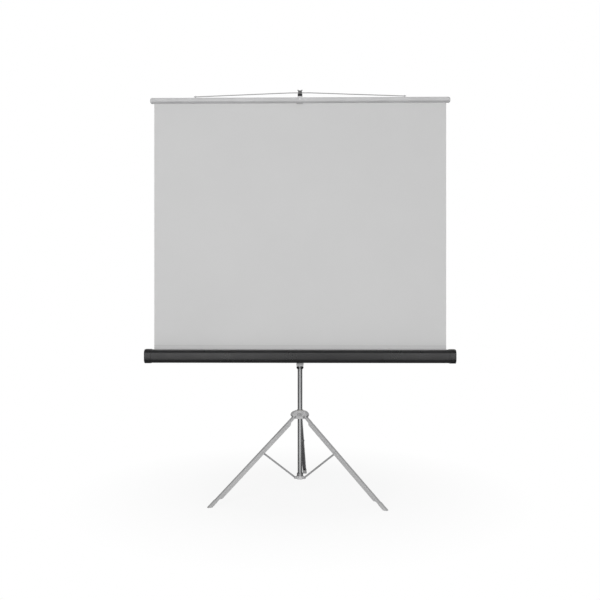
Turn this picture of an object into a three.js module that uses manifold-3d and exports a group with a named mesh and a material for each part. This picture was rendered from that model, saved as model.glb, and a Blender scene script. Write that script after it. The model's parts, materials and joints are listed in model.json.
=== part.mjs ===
// Tripod projection screen with its fabric pulled up, in millimetres.
// The mast stands on x = y = 0, the floor is z = 0 and the screen faces -Y.
import * as THREE from "three";
import { mergeVertices } from "three/addons/utils/BufferGeometryUtils.js";
import Module from "manifold-3d";

const wasm = await Module();
wasm.setup();

// Facets round the mast, other round pieces, a pin and a rounded corner
const MAST_FACETS = 36;
const TUBE_FACETS = 22;
const PIN_FACETS = 10;
const CORNER_FACETS = 4;

// Clearances
const GAP = 0.3;
const SIDE_PLAY = 0.5;
const STOP_GAP = 3;

// How far a cutting or joining tool runs past the face it goes through, and the usual small chamfer
const OVERRUN = 1;
const CHAMFER = 1;

// Screen fabric and what is left of it on the roller
const FABRIC_WIDTH = 1580;
const FABRIC_DROP = 1333;
const FABRIC_THICKNESS = 0.6;
const FABRIC_WRAPS = 1.2;

// Case
const CASE_LENGTH = 1675;
const CASE_HEIGHT = 71;
const CASE_DEPTH = 70;
const CASE_CORNER = 21;
const CASE_WALL = 1.6;
const CASE_SLOT = 12;
const CASE_PIVOT_HEIGHT = 773.5;
const CASE_BEHIND = 46;
const CAP_LENGTH = 34;
const CAP_WALL = 2;
const CAP_END = 3;
const CAP_ROUND = 3;
const AXLE_BOSS_RADIUS = 10;
const AXLE_BOSS_LENGTH = 14;

// Roller, spindle and torsion spring
const ROLLER_RADIUS = 17;
const ROLLER_WALL = 1.5;
const ROLLER_OFFSET = 12;
const PLUG_LENGTH = 30;
const AXLE_RADIUS = 4;
const SPINDLE_RADIUS = 6.2;
const SPINDLE_LENGTH = 420;
const SPRING_WIRE_RADIUS = 1.4;
const SPRING_PITCH = 7;
const SPRING_TURNS = 12;
const SPRING_STEPS = 8;
const SPRING_SIDES = 5;

// Back bracket and pivot stud of the case
const BRACKET_WIDTH = 50;
const BRACKET_HEIGHT = 38;
const BRACKET_FLANGE = 22;
const BRACKET_SHEET = 3;
const STUD_RADIUS = 6;
const STUD_HEAD_RADIUS = 11;
const STUD_HEAD = 4;
const WASHER_THICKNESS = 2;
const WASHER_RADIUS = 16;

// Top slat
const SLAT_LENGTH = 1624;
const SLAT_HEIGHT = 31;
const SLAT_DEPTH = 16;
const SLAT_ROUND = 6;
const SLAT_FOOT_HEIGHT = 10;
const SLAT_FOOT_DEPTH = 11;
const SLAT_SLOT_DEPTH = 7;
const SLAT_WALL = 1.8;
const SLAT_CAP_LENGTH = 15;
const GRIP_WIDTH = 34;
const GRIP_NECK = 20;
const GRIP_SHEET = 3;
const GRIP_RISE = 5;
const GRIP_DROP = 4;
const GRIP_SHOULDER = 6;
const GRIP_LIP_REACH = 7;
const SLAT_CAP_COLLAR = 4;
const SLAT_STEP = 1;

// Bail and its eyes
const BAIL_RADIUS = 2.25;
const BAIL_SPAN = 1130;
const BAIL_FLAT = 110;
const BAIL_STUB = 9;
const BAIL_BEND = 12;
const EYE_HEIGHT = 6;
const EYE_RADIUS = 5.5;
const EYE_THICKNESS = 4;

// Hook on top of the pole
const HOOK_LIFT = 24;
const HOOK_HEIGHT = 34;
const HOOK_BASE_WIDTH = 18;
const HOOK_TOP_WIDTH = 28;
const HOOK_NOTCH = 4;
const HOOK_FRONT = 18;
const HOOK_BACK = 13;
const HOOK_LIP = 5;
const HOOK_SEAT = 20;
const HOOK_SOCKET = 12;
const HOOK_WALL = 4;
const HOOK_CURL = 5;
const HOOK_BACK_RISE = 8;
const WIRE_SET_BACK = 3;

// Telescoping mast
const MAST_BOTTOM = 96;
const MAST_OVER_PIVOT = 18.5;
const MAST_RADIUS = 13;
const MIDDLE_RADIUS = 11;
const POLE_RADIUS = 9;
const TUBE_WALL = 1.2;
const INSERTION = 43;
const GLIDE_SKIRT = 8;
const GLIDE_SPIGOT = 5;
const GLIDE_WALL = 2;
const COLLAR_BELOW = 24;
const COLLAR_ABOVE = 14;
const COLLAR_WALL = 2.2;
const LOCK_BOSS = 5;

// Case carrier
const CARRIER_RADIUS = 20;
const CARRIER_DROP = 62;
const CARRIER_RING = 53;
const CARRIER_PLATE = 8;
const CARRIER_PLATE_BACK = 16;
const CARRIER_BUSH_RADIUS = 19.5;
const CARRIER_BUSH_HEIGHT = 14;
const CARRIER_TAPER = 3;
const CARRIER_TAPER_RISE = 6;
const CARRIER_BOSS_RADIUS = 9;
const CARRIER_BUSH_LIP = 2.5;
const CARRIER_BUSH_TAPER = 5;

// Clamp knobs
const SCREW_RADIUS = 3;
const KNOB_RADIUS = 12;
const KNOB_LENGTH = 14;
const KNOB_LOBES = 6;
const KNOB_LOBE_DEPTH = 1.2;
const THUMB_RADIUS = 7;
const THUMB_LENGTH = 12;

// Tripod
const LEG_COUNT = 3;
const BACK_LEG_AZIMUTH = 87.6;
const LEG_SPREAD = 48.3;
const LEG_LENGTH = 655;
const LEG_PIVOT_RADIUS = 36;
const LEG_WIDTH = 20;
const LEG_DEPTH = 22;
const LEG_SHEET = 1.5;
const LEG_BEND = 3;
const LEG_TOP_END = 10;
const TONGUE_DEPTH = 13;
const TONGUE_LENGTH = 36;
const TONGUE_RAKE = 14;
const PIN_RADIUS = 3;
const PIN_HEAD_RADIUS = 5;
const PIN_HEAD = 2.4;
const FOOT_WALL = 1.3;
const FOOT_SLEEVE = 46;
const FOOT_SOLE = 16;
const BRACE_PIN_DISTANCE = 260;
const BRACE_DEPTH = 9.5;
const BRACE_THICKNESS = 4;
const SPIDER_PIN_HEIGHT = 99.5;
const SPIDER_PIN_ORBIT = 26;
const SPIDER_PIN_RADIUS = 2.5;
const SPIDER_WALL = 4;
const SPIDER_RISE = 34;
const SPIDER_FLOOR = 5;
const CHEEK_THICKNESS = 4;
const CHEEK_MARGIN = 7;
const CHEEK_FOOT = 4;
const CHEEK_ROOT = 4;
const CHEEK_SINK = 1.5;
const NOTCH_FLARE = 1.2;

// Hub
const HUB_SLEEVE_WALL = 4.7;
const HUB_BUSH_WALL = 1.7;
const HUB_BELOW = 12;
const HUB_ABOVE = 33;
const HUB_FLANGE = 3;
const ARM_REACH = 52;
const ARM_INNER = 14;
const ARM_TOP = 34;
const ARM_EAVE = 10;
const EAR_RADIUS = 10;
const ARM_SHEET = 3;
const THUMB_HEIGHT = 14;
const THUMB_BOSS = 6;
const ARM_THROAT = 4;

// Places that follow from the sizes
const RAD = Math.PI / 180;
const caseY = -(CASE_BEHIND + CASE_DEPTH / 2);
const rollerY = caseY - ROLLER_OFFSET;
const rollRadius = ROLLER_RADIUS + GAP + FABRIC_WRAPS;
const fabricY = rollerY + rollRadius + GAP + FABRIC_THICKNESS / 2;
const caseTop = CASE_PIVOT_HEIGHT + CASE_HEIGHT / 2;
const slatBottom = caseTop + FABRIC_DROP;
const slatTop = slatBottom + SLAT_HEIGHT;
const hookBase = slatTop + HOOK_LIFT;
const mastTop = CASE_PIVOT_HEIGHT + MAST_OVER_PIVOT;
const travel = FABRIC_DROP - GRIP_DROP - STOP_GAP;
const middleTravel = mastTop - INSERTION - MAST_BOTTOM - GLIDE_SKIRT - STOP_GAP;
const poleTravel = travel - middleTravel;
const middleTop = hookBase - poleTravel - COLLAR_ABOVE - STOP_GAP;
const middleBottom = mastTop - INSERTION;
const poleBottom = middleTop - INSERTION;
const poleTop = hookBase + HOOK_SOCKET;
const legPivotHeight = LEG_LENGTH * Math.cos(LEG_SPREAD * RAD);
const legOutside = TONGUE_DEPTH / 2;
const legInside = legOutside - LEG_DEPTH;
const bracePinX = (legOutside + legInside) / 2;

// Materials
function finish(color, roughness, metalness) {
  return new THREE.MeshStandardMaterial({ color, roughness, metalness });
}
const MATT_WHITE = finish(0xe9e9e6, 0.95, 0);
const SATIN_BLACK = finish(0x222224, 0.45, 0.2);
const BLACK_PLASTIC = finish(0x18181a, 0.5, 0);
const GREY_PAINT = finish(0xb4b5b6, 0.45, 0.3);
const LIGHT_GREY = finish(0xc9cacb, 0.45, 0.3);
const BRIGHT_TUBE = finish(0xc4c6c9, 0.25, 1);
const PLATED_STEEL = finish(0xb9bcc0, 0.35, 1);
const NYLON = finish(0xdad8d0, 0.6, 0);
const RUBBER = finish(0x1c1c1d, 0.85, 0);

// Solids
function toSolid(geometry) {
  const bare = geometry.clone();
  bare.deleteAttribute("normal");
  bare.deleteAttribute("uv");
  const merged = mergeVertices(bare, 1e-4);
  const vertProperties = new Float32Array(merged.attributes.position.array);
  const triVerts = new Uint32Array(merged.index.array);
  return new wasm.Manifold(new wasm.Mesh({ numProp: 3, vertProperties, triVerts }));
}

function toGeometry(solid) {
  const mesh = solid.getMesh();
  const geometry = new THREE.BufferGeometry();
  geometry.setAttribute("position", new THREE.BufferAttribute(new Float32Array(mesh.vertProperties), 3));
  geometry.setIndex(new THREE.BufferAttribute(new Uint32Array(mesh.triVerts), 1));
  geometry.computeVertexNormals();
  return geometry;
}

function join(...geometries) {
  return toGeometry(geometries.map(toSolid).reduce((sum, next) => sum.add(next)));
}

function cut(base, ...tools) {
  return toGeometry(tools.map(toSolid).reduce((left, tool) => left.subtract(tool), toSolid(base)));
}

function common(first, second) {
  return toGeometry(toSolid(first).intersect(toSolid(second)));
}

// Shapes and how they are swept
function outline(points) {
  return new THREE.Shape(points.map(([x, y]) => new THREE.Vector2(x, y)));
}

function roundedRectangle(width, height, radius) {
  const [x, y] = [width / 2 - radius, height / 2 - radius];
  const shape = new THREE.Shape();
  shape.absarc(x, -y, radius, -Math.PI / 2, 0);
  shape.absarc(x, y, radius, 0, Math.PI / 2);
  shape.absarc(-x, y, radius, Math.PI / 2, Math.PI);
  shape.absarc(-x, -y, radius, Math.PI, 1.5 * Math.PI);
  shape.closePath();
  return shape;
}

function extrude(shape, depth, options = {}) {
  const settings = { depth, bevelEnabled: false, curveSegments: CORNER_FACETS, ...options };
  return new THREE.ExtrudeGeometry(shape, settings);
}

// A shape drawn in (y, z), swept along X and centred there
function alongX(shape, length, options = {}) {
  const turn = new THREE.Matrix4().set(0, 0, 1, 0, 1, 0, 0, 0, 0, 1, 0, 0, 0, 0, 0, 1);
  return extrude(shape, length, options).translate(0, 0, -length / 2).applyMatrix4(turn);
}

// A shape drawn in (x, z), swept from the smaller to the larger y
function alongY(shape, fromY, toY, options = {}) {
  return extrude(shape, toY - fromY, options).rotateX(Math.PI / 2).translate(0, toY, 0);
}

function box(fromX, toX, fromY, toY, fromZ, toZ) {
  const solid = new THREE.BoxGeometry(toX - fromX, toY - fromY, toZ - fromZ);
  return solid.translate((fromX + toX) / 2, (fromY + toY) / 2, (fromZ + toZ) / 2);
}

// A profile of (radius, z) pairs turned about Z
function revolve(profile, segments = TUBE_FACETS) {
  const points = profile.map(([radius, z]) => new THREE.Vector2(radius, z));
  return new THREE.LatheGeometry(points, segments).rotateX(Math.PI / 2);
}

function ring(inner, outer, fromZ, toZ, segments = TUBE_FACETS) {
  return revolve([[inner, fromZ], [outer, fromZ], [outer, toZ], [inner, toZ], [inner, fromZ]], segments);
}

function rod(radius, fromZ, toZ, segments = PIN_FACETS) {
  return revolve([[0, fromZ], [radius, fromZ], [radius, toZ], [0, toZ]], segments);
}

function rodAlongY(radius, fromY, toY, segments = PIN_FACETS) {
  return rod(radius, -toY, -fromY, segments).rotateX(Math.PI / 2);
}

function rodAlongX(radius, fromX, toX, segments = PIN_FACETS) {
  return rod(radius, fromX, toX, segments).rotateY(Math.PI / 2);
}

// A round wire along points, with a known vector beside it at each point
function sweepWire(points, besides, radius, sides) {
  const positions = [];
  const faces = [];
  const last = points.length - 1;
  points.forEach((point, i) => {
    const ahead = points[Math.min(i + 1, last)].clone().sub(points[Math.max(i - 1, 0)]).normalize();
    const across = new THREE.Vector3().crossVectors(ahead, besides[i]).normalize();
    const beside = new THREE.Vector3().crossVectors(across, ahead);
    for (let j = 0; j < sides; j++) {
      const angle = (2 * Math.PI * j) / sides;
      const place = point.clone().addScaledVector(beside, radius * Math.cos(angle));
      positions.push(...place.addScaledVector(across, radius * Math.sin(angle)).toArray());
    }
  });
  const start = positions.length / 3;
  positions.push(...points[0].toArray(), ...points[last].toArray());
  for (let j = 0; j < sides; j++) {
    const next = (j + 1) % sides;
    for (let i = 0; i < last; i++) {
      const [a, b] = [i * sides + j, i * sides + next];
      faces.push(a, b, a + sides, b, b + sides, a + sides);
    }
    faces.push(start, next, j, start + 1, last * sides + j, last * sides + next);
  }
  const geometry = new THREE.BufferGeometry();
  geometry.setAttribute("position", new THREE.Float32BufferAttribute(positions, 3));
  geometry.setIndex(faces);
  geometry.computeVertexNormals();
  return geometry;
}

// Scene graph
function group(name, parent, x = 0, y = 0, z = 0) {
  const made = new THREE.Group();
  made.name = name;
  made.position.set(x, y, z);
  parent?.add(made);
  return made;
}

function piece(parent, name, geometry, material) {
  const mesh = new THREE.Mesh(geometry, material);
  mesh.name = name;
  parent.add(mesh);
  return mesh;
}

// A lobed clamp knob on a screw that points back along -Y, tip first
function clampKnob(tipY, seatY, radius, length) {
  const steps = 2 * CORNER_FACETS * KNOB_LOBES;
  const lobed = outline(Array.from({ length: steps }, (_, i) => {
    const angle = (2 * Math.PI * i) / steps;
    const reach = radius - KNOB_LOBE_DEPTH * (1 - Math.cos(KNOB_LOBES * angle)) / 2;
    return [reach * Math.cos(angle), reach * Math.sin(angle)];
  }));
  const neck = rodAlongY(radius / 2, seatY, seatY + length / 3);
  const head = alongY(lobed, seatY + length / 4, seatY + length);
  return join(rodAlongY(SCREW_RADIUS, tipY, seatY + OVERRUN), neck, head);
}

// A pin across a fork, with a low head at each end; flat is the half width between the heads
function rivet(radius, headRadius, flat) {
  const tip = flat + PIN_HEAD;
  const shoulder = headRadius - CHAMFER;
  return revolve([
    [0, -tip], [shoulder, -tip], [headRadius, CHAMFER - tip], [headRadius, -flat], [radius, -flat],
    [radius, flat], [headRadius, flat], [headRadius, tip - CHAMFER], [shoulder, tip], [0, tip],
  ], PIN_FACETS).rotateX(Math.PI / 2);
}

const screen = group("screen");
const mast = group("mast", screen);

// Mast tube, its foot spider and the collar that locks the next section
function foot() {
  const outer = MAST_RADIUS + GAP + SPIDER_WALL;
  const floor = MAST_BOTTOM - GAP - SPIDER_FLOOR;
  const cup = revolve([
    [0, floor], [outer - CHAMFER, floor], [outer, floor + CHAMFER], [outer, floor + SPIDER_RISE],
    [MAST_RADIUS + GAP, floor + SPIDER_RISE], [MAST_RADIUS + GAP, MAST_BOTTOM - GAP], [0, MAST_BOTTOM - GAP],
  ]);
  const reach = SPIDER_PIN_ORBIT + CHEEK_MARGIN;
  const low = floor + CHEEK_FOOT;
  const high = SPIDER_PIN_HEIGHT + CHEEK_MARGIN + CHEEK_ROOT;
  const root = MAST_RADIUS + CHEEK_SINK;
  const notch = SPIDER_PIN_RADIUS + GAP;
  const cheek = new THREE.Shape();
  cheek.moveTo(root, low);
  cheek.lineTo(SPIDER_PIN_ORBIT - notch - NOTCH_FLARE, low);
  cheek.lineTo(SPIDER_PIN_ORBIT - notch, SPIDER_PIN_HEIGHT);
  cheek.absarc(SPIDER_PIN_ORBIT, SPIDER_PIN_HEIGHT, notch, Math.PI, 0, true);
  cheek.lineTo(SPIDER_PIN_ORBIT + notch + NOTCH_FLARE, low);
  cheek.lineTo(reach, low);
  cheek.lineTo(reach, SPIDER_PIN_HEIGHT);
  cheek.absarc(SPIDER_PIN_ORBIT, SPIDER_PIN_HEIGHT, CHEEK_MARGIN, 0, Math.PI / 2);
  cheek.lineTo(root, high);
  cheek.closePath();
  const inner = BRACE_THICKNESS / 2 + SIDE_PLAY;
  const cheeks = [];
  for (let i = 0; i < LEG_COUNT; i++) {
    const azimuth = (BACK_LEG_AZIMUTH + (360 * i) / LEG_COUNT) * RAD;
    cheeks.push(alongY(cheek, inner, inner + CHEEK_THICKNESS).rotateZ(azimuth));
    cheeks.push(alongY(cheek, -inner - CHEEK_THICKNESS, -inner).rotateZ(azimuth));
  }
  const socket = rod(MAST_RADIUS + GAP, MAST_BOTTOM - GAP, floor + SPIDER_RISE + OVERRUN, TUBE_FACETS);
  return cut(join(cup, ...cheeks), socket);
}

// A collar at the top of a tube, closing down to the next section, with a screw boss at the back
function lockCollar(outerTube, innerTube, top) {
  const outer = outerTube + GAP + COLLAR_WALL;
  const bore = innerTube + GAP;
  const [bottom, crown] = [top - COLLAR_BELOW, top + COLLAR_ABOVE];
  const screwZ = top + COLLAR_ABOVE / 2;
  const sleeve = revolve([
    [bore, bottom], [outer - CHAMFER, bottom], [outer, bottom + CHAMFER],
    [outer, crown - CHAMFER], [outer - CHAMFER, crown], [bore, crown], [bore, bottom],
  ]);
  const bossRadius = COLLAR_ABOVE / 2 - SIDE_PLAY;
  const boss = rodAlongY(bossRadius, bore + OVERRUN, outer + LOCK_BOSS).translate(0, 0, screwZ);
  const seat = rod(outerTube + GAP, bottom - OVERRUN, top + GAP, TUBE_FACETS);
  const thread = rodAlongY(SCREW_RADIUS + GAP, 0, outer + LOCK_BOSS + OVERRUN).translate(0, 0, screwZ);
  return cut(join(sleeve, boss), seat, rod(bore, bottom, crown + OVERRUN, TUBE_FACETS), thread);
}

function lockKnob(outerTube, innerTube) {
  const seat = outerTube + GAP + COLLAR_WALL + LOCK_BOSS + GAP;
  return clampKnob(innerTube + GAP, seat, KNOB_RADIUS, KNOB_LENGTH);
}

function glide(innerRadius, tubeBore, bottom) {
  const [skirt, spigot] = [tubeBore - GAP, innerRadius - TUBE_WALL - GAP];
  const bore = spigot - GLIDE_WALL;
  const end = bottom - GLIDE_SKIRT;
  return revolve([
    [bore, end], [skirt - CHAMFER, end], [skirt, end + CHAMFER], [skirt, bottom - GAP],
    [spigot, bottom - GAP], [spigot, bottom + GLIDE_SPIGOT], [bore, bottom + GLIDE_SPIGOT], [bore, end],
  ]);
}

function tube(radius, fromZ, toZ) {
  return ring(radius - TUBE_WALL, radius, fromZ, toZ, MAST_FACETS);
}

piece(mast, "mast_tube", tube(MAST_RADIUS, MAST_BOTTOM, mastTop), BRIGHT_TUBE);
piece(mast, "foot_spider", foot(), GREY_PAINT);
piece(mast, "mast_lock_collar", lockCollar(MAST_RADIUS, MIDDLE_RADIUS, mastTop), BLACK_PLASTIC);
const mastKnob = group("mast_lock", mast, 0, 0, mastTop + COLLAR_ABOVE / 2);
piece(mastKnob, "mast_lock_knob", lockKnob(MAST_RADIUS, MIDDLE_RADIUS), BLACK_PLASTIC);

// Carrier that holds the case on the mast
const carrierBottom = CASE_PIVOT_HEIGHT - CARRIER_DROP;
const carrierScrewZ = carrierBottom + CARRIER_RING / 2;
const washerFront = -(CARRIER_PLATE_BACK + CARRIER_PLATE + GAP + WASHER_THICKNESS);
const plateBack = washerFront - GAP;
const plateFront = plateBack - BRACKET_SHEET;

function carrier() {
  const bodyTop = carrierBottom + CARRIER_RING;
  const inner = MAST_RADIUS + GAP;
  const waist = CARRIER_RADIUS - CARRIER_TAPER;
  const shoulder = carrierBottom + CARRIER_TAPER_RISE;
  const body = revolve([
    [inner, carrierBottom], [waist, carrierBottom], [CARRIER_RADIUS, shoulder],
    [CARRIER_RADIUS, bodyTop - CARRIER_TAPER], [waist, bodyTop], [inner, bodyTop], [inner, carrierBottom],
  ]);
  const face = new THREE.Shape();
  face.moveTo(-waist, shoulder);
  face.lineTo(waist, shoulder);
  face.absarc(0, CASE_PIVOT_HEIGHT, CARRIER_RADIUS, 0, Math.PI);
  face.closePath();
  const front = -(CARRIER_PLATE_BACK + CARRIER_PLATE);
  const plate = alongY(face, front, -CARRIER_PLATE_BACK);
  const bossEnd = CARRIER_RADIUS + LOCK_BOSS;
  const boss = rodAlongY(CARRIER_BOSS_RADIUS, inner + OVERRUN, bossEnd).translate(0, 0, carrierScrewZ);
  const studHole = rodAlongY(STUD_RADIUS + GAP, front - OVERRUN, OVERRUN - CARRIER_PLATE_BACK);
  const screwHole = rodAlongY(SCREW_RADIUS + GAP, 0, bossEnd + OVERRUN);
  const bore = rod(inner, carrierBottom - OVERRUN, bodyTop + OVERRUN, TUBE_FACETS);
  return cut(
    join(body, plate, boss), bore,
    studHole.translate(0, 0, CASE_PIVOT_HEIGHT), screwHole.translate(0, 0, carrierScrewZ),
  );
}

function carrierBush() {
  const top = carrierBottom - GAP;
  const bottom = top - CARRIER_BUSH_HEIGHT;
  const bore = MAST_RADIUS + GAP;
  return revolve([
    [bore, bottom], [bore + CARRIER_BUSH_LIP, bottom], [CARRIER_BUSH_RADIUS, bottom + CARRIER_BUSH_TAPER],
    [CARRIER_BUSH_RADIUS, top - CHAMFER], [CARRIER_BUSH_RADIUS - CHAMFER, top], [bore, top], [bore, bottom],
  ]);
}

// The stud runs along Y through the carrier plate, with its head inside the case bracket
function pivotStud() {
  const head = -(plateFront - GAP);
  return revolve([
    [0, CARRIER_PLATE_BACK + GAP], [STUD_RADIUS, CARRIER_PLATE_BACK + GAP], [STUD_RADIUS, head],
    [STUD_HEAD_RADIUS, head], [STUD_HEAD_RADIUS, head + STUD_HEAD - CHAMFER],
    [STUD_HEAD_RADIUS - CHAMFER, head + STUD_HEAD], [0, head + STUD_HEAD],
  ]).rotateX(Math.PI / 2);
}

piece(mast, "carrier_collar", carrier(), LIGHT_GREY);
piece(mast, "carrier_bush", carrierBush(), BLACK_PLASTIC);
const pivot = group("case_pivot", mast, 0, 0, CASE_PIVOT_HEIGHT);
piece(pivot, "pivot_stud", pivotStud(), PLATED_STEEL);
const washer = ring(STUD_RADIUS + GAP, WASHER_RADIUS, -WASHER_THICKNESS, 0).rotateX(Math.PI / 2);
piece(pivot, "pivot_washer", washer.translate(0, washerFront, 0), BLACK_PLASTIC);
const carrierKnob = group("carrier_lock", mast, 0, 0, carrierScrewZ);
const carrierKnobSeat = CARRIER_RADIUS + LOCK_BOSS + GAP;
piece(carrierKnob, "carrier_knob", clampKnob(MAST_RADIUS + GAP, carrierKnobSeat, KNOB_RADIUS, KNOB_LENGTH),
  BLACK_PLASTIC);

// Sections that slide out of the mast, and the hook that the bail hangs on
const middle = group("middle", mast, 0, 0, middleBottom);
const middleLength = middleTop - middleBottom;
piece(middle, "middle_tube", tube(MIDDLE_RADIUS, 0, middleLength), BRIGHT_TUBE);
piece(middle, "middle_glide", glide(MIDDLE_RADIUS, MAST_RADIUS - TUBE_WALL, 0), NYLON);
piece(middle, "middle_lock_collar", lockCollar(MIDDLE_RADIUS, POLE_RADIUS, middleLength), BLACK_PLASTIC);
const middleKnob = group("middle_lock", middle, 0, 0, middleLength + COLLAR_ABOVE / 2);
piece(middleKnob, "middle_lock_knob", lockKnob(MIDDLE_RADIUS, POLE_RADIUS), BLACK_PLASTIC);

function hook() {
  const [base, top] = [HOOK_BASE_WIDTH / 2, HOOK_TOP_WIDTH / 2];
  const front = new THREE.Shape();
  front.moveTo(-base, 0);
  front.lineTo(base, 0);
  front.lineTo(base, HOOK_HEIGHT / 4);
  const [horn, flare] = [top - 3 * CHAMFER, (3 * HOOK_HEIGHT) / 4];
  front.quadraticCurveTo(base, flare, top, HOOK_HEIGHT - CHAMFER);
  front.quadraticCurveTo(top - CHAMFER, HOOK_HEIGHT, horn, HOOK_HEIGHT);
  front.quadraticCurveTo(0, HOOK_HEIGHT - 2 * HOOK_NOTCH, -horn, HOOK_HEIGHT);
  front.quadraticCurveTo(CHAMFER - top, HOOK_HEIGHT, -top, HOOK_HEIGHT - CHAMFER);
  front.quadraticCurveTo(-base, flare, -base, HOOK_HEIGHT / 4);
  front.closePath();
  const lip = HOOK_LIP - HOOK_FRONT;
  const side = new THREE.Shape();
  side.moveTo(-HOOK_BACK, 0);
  side.lineTo(HOOK_BACK, 0);
  const backTop = HOOK_SEAT + HOOK_BACK_RISE;
  side.lineTo(HOOK_BACK, backTop - 2 * CHAMFER);
  side.quadraticCurveTo(HOOK_BACK, backTop, HOOK_BACK - 2 * CHAMFER, backTop);
  side.lineTo(WIRE_SET_BACK + HOOK_CURL, HOOK_SEAT + HOOK_CURL);
  side.quadraticCurveTo(WIRE_SET_BACK + HOOK_CURL - CHAMFER, HOOK_SEAT, WIRE_SET_BACK, HOOK_SEAT);
  side.lineTo(lip + HOOK_CURL - CHAMFER, HOOK_SEAT);
  side.quadraticCurveTo(lip, HOOK_SEAT, lip, HOOK_SEAT + HOOK_CURL);
  side.lineTo(lip, HOOK_HEIGHT);
  side.lineTo(-HOOK_FRONT, HOOK_HEIGHT);
  side.lineTo(-HOOK_FRONT, HOOK_HEIGHT / 3);
  side.closePath();
  const bar = alongY(front, -HOOK_FRONT - OVERRUN, HOOK_BACK + OVERRUN);
  const hooked = common(bar, alongX(side, 2 * HOOK_TOP_WIDTH));
  const socket = rod(POLE_RADIUS + HOOK_WALL, 0, HOOK_SOCKET + HOOK_WALL, TUBE_FACETS);
  const seat = rod(POLE_RADIUS + GAP, -OVERRUN, HOOK_SOCKET + GAP, TUBE_FACETS);
  return cut(join(hooked, socket), seat);
}

const poleZ = poleBottom - middleBottom;
const pole = group("pole", middle, 0, 0, poleZ);
piece(pole, "pole_tube", tube(POLE_RADIUS, 0, poleTop - poleBottom), BRIGHT_TUBE);
piece(pole, "pole_glide", glide(POLE_RADIUS, MIDDLE_RADIUS - TUBE_WALL, 0), NYLON);
const hookGroup = group("hook", pole, 0, 0, hookBase - poleBottom);
piece(hookGroup, "pole_hook", hook(), BLACK_PLASTIC);

// Case, drawn about the pivot that it turns on
const caseGroup = group("case", mast, 0, 0, CASE_PIVOT_HEIGHT);
const shellLength = CASE_LENGTH - 2 * (CAP_END + GAP);

function caseSection(grow) {
  return roundedRectangle(CASE_DEPTH + 2 * grow, CASE_HEIGHT + 2 * grow, CASE_CORNER + grow);
}

function caseShell() {
  const outside = alongX(caseSection(0), shellLength).translate(0, caseY, 0);
  const inside = alongX(caseSection(-CASE_WALL), shellLength + 2 * OVERRUN).translate(0, caseY, 0);
  const half = shellLength / 2 + OVERRUN;
  const [back, front] = [fabricY + CASE_SLOT / 2, fabricY - CASE_SLOT / 2];
  return cut(outside, inside, box(-half, half, front, back, CASE_HEIGHT / 4, CASE_HEIGHT));
}

// An end cap for the +X end, with the boss that carries the roller axle
function caseCap() {
  const grow = GAP + CAP_WALL;
  const rounded = {
    bevelEnabled: true, bevelThickness: CAP_ROUND, bevelSize: CAP_ROUND, bevelOffset: -CAP_ROUND,
    bevelSegments: 2,
  };
  const end = CASE_LENGTH / 2;
  const inner = end - CAP_LENGTH;
  const bodyX = end - CAP_LENGTH / 2 - CAP_ROUND;
  const body = alongX(caseSection(grow), CAP_LENGTH, rounded).translate(bodyX, caseY, 0);
  const [trimFrom, trimTo] = [caseY - CASE_DEPTH, caseY + CASE_DEPTH];
  const trim = box(inner - 2 * CAP_LENGTH, inner, trimFrom, trimTo, -CASE_HEIGHT, CASE_HEIGHT);
  const pocket = alongX(caseSection(GAP), CAP_LENGTH).translate(end - CAP_END - CAP_LENGTH / 2, caseY, 0);
  const wall = end - CAP_END;
  const boss = rodAlongX(AXLE_BOSS_RADIUS, wall - AXLE_BOSS_LENGTH, wall + OVERRUN).translate(0, rollerY, 0);
  const axle = rodAlongX(AXLE_RADIUS + GAP, wall - AXLE_BOSS_LENGTH - OVERRUN, wall).translate(0, rollerY, 0);
  return cut(join(cut(body, trim, pocket), boss), axle);
}

// A hat section whose flanges lie on the back of the case and whose crown turns on the stud
function caseBracket() {
  const [half, sheet] = [BRACKET_WIDTH / 2, BRACKET_SHEET];
  const foot = -CASE_BEHIND + GAP;
  const edge = half + BRACKET_FLANGE;
  const hat = outline([
    [-edge, foot], [-half + sheet, foot], [-half + sheet, plateFront], [half - sheet, plateFront],
    [half - sheet, foot], [edge, foot], [edge, foot + sheet], [half, foot + sheet], [half, plateBack],
    [-half, plateBack], [-half, foot + sheet], [-edge, foot + sheet],
  ]);
  const body = extrude(hat, BRACKET_HEIGHT).translate(0, 0, -BRACKET_HEIGHT / 2);
  return cut(body, rodAlongY(STUD_RADIUS + GAP, plateFront - OVERRUN, plateBack + OVERRUN));
}

piece(caseGroup, "case_shell", caseShell(), SATIN_BLACK);
piece(caseGroup, "case_end_cap_right", caseCap(), BLACK_PLASTIC);
const leftCap = toGeometry(toSolid(caseCap()).mirror([1, 0, 0]));
piece(caseGroup, "case_end_cap_left", leftCap, BLACK_PLASTIC);
piece(caseGroup, "case_bracket", caseBracket(), GREY_PAINT);

// Fixed spindle, held in the left cap, and the spring wound on it
const axleTip = CASE_LENGTH / 2 - CAP_END - GAP;
const bossFace = axleTip + GAP - AXLE_BOSS_LENGTH;
const rollerEnd = bossFace - GAP;
const plugInner = rollerEnd - PLUG_LENGTH;

function spindle() {
  const shoulder = GAP - plugInner;
  return revolve([
    [0, -axleTip], [AXLE_RADIUS, -axleTip], [AXLE_RADIUS, shoulder], [SPINDLE_RADIUS, shoulder],
    [SPINDLE_RADIUS, shoulder + SPINDLE_LENGTH], [0, shoulder + SPINDLE_LENGTH],
  ], PIN_FACETS).rotateY(Math.PI / 2);
}

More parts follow.
